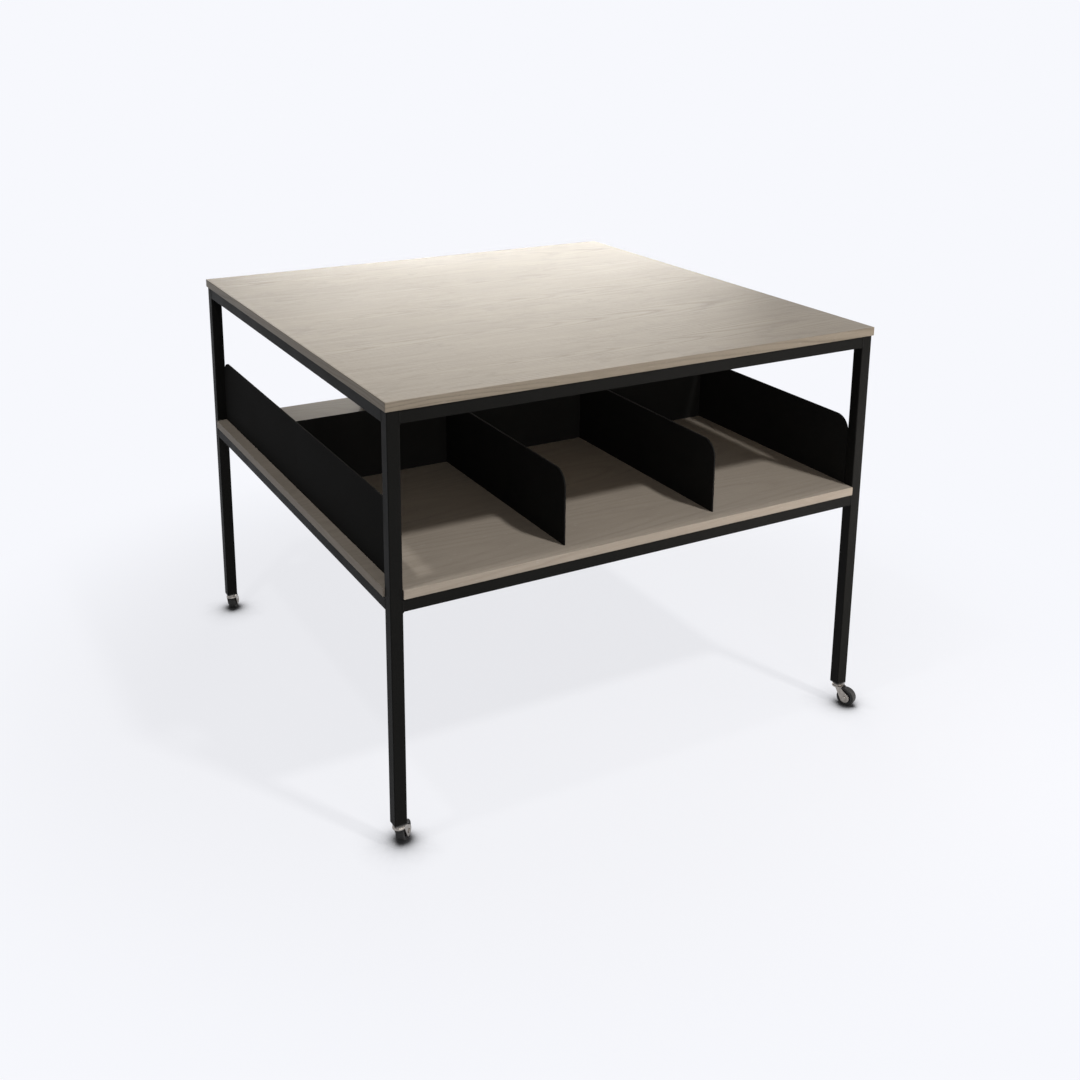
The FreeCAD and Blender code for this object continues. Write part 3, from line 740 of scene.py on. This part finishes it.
def hub_ribs(corner, centre, axle, rib):
    """Moulded ribs between a hub's boss and its rim, on both sides."""
    whole = bmesh.new()
    for side in (-1, 1):
        for number in range(RIBS):
            turn = Matrix.Rotation(math.radians(360 / RIBS * number + FIRST_RIB), 3, axle)
            spoke = turn @ Vector((0, 0, 1))
            set_in(whole, rib, centre, spoke, axle.cross(spoke), side * axle)
    new_piece(f"castor_{corner}_hub_ribs", whole, "castor_hub_plastic",
              f"castor_{corner}_wheel_body")


one_rib = hub_rib()
joints = {joint["name"]: joint for joint in frame["joints"]}
for corner in corners:
    wheel = joints[f"castor_{corner}_roll"]
    hub_ribs(corner, Vector(wheel["pos_m"]), Vector(wheel["axis"]), one_rib)

# ---------------------------------------------------------------- floor, backdrop and light
backdrop_colour = (0.930, 0.939, 0.982)
FLOOR_RADIUS = 60.0
FADE_START, FADE_END = 0.75, 1.55       # from the middle, where the floor's shadow fades out
# the contact shadow painted on the floor round each wheel reaches this far
PAINTED_SHADOW_REACH = 0.09                    # how far a wheel darkens the floor round it
floor_paint = (0.92, 0.93, 0.965)
floor_bounce = (0.46, 0.465, 0.4825)    # what the floor gives back to the table
# the painted contact shadow's colour close to the wheels
painted_contact_shadow = (0.10, 0.10, 0.105)     # close to the wheels


def ray_kinds(tree):
    """(1 for what is seen directly, in a mirror or through glass, 1 for soft bounced light)."""
    path = put(tree, "ShaderNodeLightPath").outputs
    seen = calc(tree, "MAXIMUM", path["Is Camera Ray"], path["Is Glossy Ray"])
    return calc(tree, "MAXIMUM", seen, path["Is Transmission Ray"]), path["Is Diffuse Ray"]


def pale_floor():
    """A floor that takes the table's shadow near it, has a contact shadow painted round each wheel, and fades into
    the backdrop.
    """
    shape = bmesh.new()
    bmesh.ops.create_circle(shape, cap_ends=True, segments=96, radius=FLOOR_RADIUS)
    mesh = bpy.data.meshes.new("studio_floor")
    shape.to_mesh(mesh)
    shape.free()
    floor = bpy.data.objects.new("studio_floor", mesh)
    bpy.context.scene.collection.objects.link(floor)
    material = bpy.data.materials.new("studio_floor")
    material.use_nodes = True
    tree = material.node_tree
    tree.nodes.clear()

    place = put(tree, "ShaderNodeTexCoord").outputs["Object"]
    x, y, _ = put(tree, "ShaderNodeSeparateXYZ", {0: place}).outputs
    away = calc(tree, "SQRT", calc(tree, "ADD", times(tree, x, x), times(tree, y, y)))
    fade = spread(tree, away, FADE_START, FADE_END, 0.80, 1.0, smooth=True)
    # painted contact shadow: ambient occlusion round the wheels darkens the floor's colour and its white glow
    contact = put(tree, "ShaderNodeAmbientOcclusion", {"Distance": PAINTED_SHADOW_REACH}, samples=16)
    clear = spread(tree, contact.outputs["AO"], 0.55, 0.985, 0.02, 1.0, smooth=True)
    seen, bounced = ray_kinds(tree)
    paint = mix_colour(tree, bounced, (*floor_paint, 1), (*floor_bounce, 1))
    paint = mix_colour(tree, clear, (*painted_contact_shadow, 1), paint)
    lit = put(tree, "ShaderNodeBsdfDiffuse", {"Color": paint})
    pure = put(tree, "ShaderNodeEmission", {"Color": (*backdrop_colour, 1), "Strength": clear})
    both = put(tree, "ShaderNodeMixShader",
               {0: times(tree, fade, seen), 1: lit.outputs[0], 2: pure.outputs[0]})
    put(tree, "ShaderNodeOutputMaterial", {"Surface": both.outputs[0]})
    mesh.materials.append(material)


def pale_backdrop(level):
    """White where it is seen, and a soft even light of that level on the table."""
    world = bpy.data.worlds.new("studio")
    world.use_nodes = True
    tree = world.node_tree
    tree.nodes.clear()
    seen, _ = ray_kinds(tree)
    soft = put(tree, "ShaderNodeBackground", {"Color": (1, 1, 1, 1), "Strength": level})
    white = put(tree, "ShaderNodeBackground", {"Color": (*backdrop_colour, 1), "Strength": 1.0})
    both = put(tree, "ShaderNodeMixShader", {0: seen, 1: soft.outputs[0], 2: white.outputs[0]})
    put(tree, "ShaderNodeOutputWorld", {"Surface": both.outputs[0]})
    bpy.context.scene.world = world


def softbox(name, place, aim, size, level, colour, shape="RECTANGLE"):
    """An area light that alone lights a surface facing it, at aim, to level."""
    lamp = bpy.data.lights.new(name, "AREA")
    lamp.shape = shape
    lamp.size, lamp.size_y = size
    distance = (Vector(place) - Vector(aim)).length
    lamp.energy = level * (math.pi * distance) ** 2
    lamp.color = colour
    holder = bpy.data.objects.new(name, lamp)
    holder.location = place
    holder.visible_camera = False
    holder.rotation_euler = (Vector(aim) - Vector(place)).to_track_quat("-Z", "Y").to_euler()
    bpy.context.scene.collection.objects.link(holder)


daylight = (1.0, 0.985, 0.96)
warm = (1.0, 0.92, 0.84)
pale_floor()
pale_backdrop(0.16)
softbox("key", place=(1.80, -5.00, 7.05), aim=(0, -0.2, 0.6), size=(0.55, 0.55),
        level=0.46, colour=daylight)
softbox("left_spot", place=(-1.66, -0.70, 4.12), aim=(-0.45, -0.46, 0.523), size=(0.2, 0.2),
        level=0.18, colour=daylight)
softbox("front_fill", place=(1.10, -1.50, 0.22), aim=(0.25, -0.55, 0.35), size=(1.2, 0.3),
        level=0.70, colour=warm)
softbox("eye_fill", place=(-0.60, -3.60, 1.20), aim=(0, -0.4, 0.6), size=(1.2, 0.6),
        level=0.18, colour=(1.0, 0.97, 0.93))
softbox("back_sheen", place=(1.84, 3.80, 1.25), aim=(0.1, 0.4, 0.875), size=(3.2, 0.72),
        level=0.50, colour=(1.0, 0.945, 0.86), shape="ELLIPSE")

# ---------------------------------------------------------------- camera
CAMERA_PLACE = (-1.3463, -2.4634, 1.5358)
CAMERA_TURN = (28.841, 14.2495, 0.2934)     # degrees to the right, downwards, and of tilt
yaw, pitch, roll = (math.radians(angle) for angle in CAMERA_TURN)
ahead = Vector((math.sin(yaw) * math.cos(pitch), math.cos(yaw) * math.cos(pitch),
                -math.sin(pitch)))
level_right = Vector((math.cos(yaw), -math.sin(yaw), 0))
level_up = level_right.cross(ahead)
right = level_right * math.cos(roll) + level_up * math.sin(roll)
above = level_up * math.cos(roll) - level_right * math.sin(roll)
lens = bpy.data.cameras.new("camera")
lens.sensor_width = 36.0
lens.lens = 42.613
lens.shift_x = 0.01882
lens.shift_y = -0.20015
camera = bpy.data.objects.new("camera", lens)
turned = Matrix((right, above, -ahead)).transposed().to_4x4()
camera.matrix_world = Matrix.Translation(CAMERA_PLACE) @ turned
bpy.context.scene.collection.objects.link(camera)
bpy.context.scene.camera = camera
bpy.context.scene.view_settings.view_transform = "Standard"
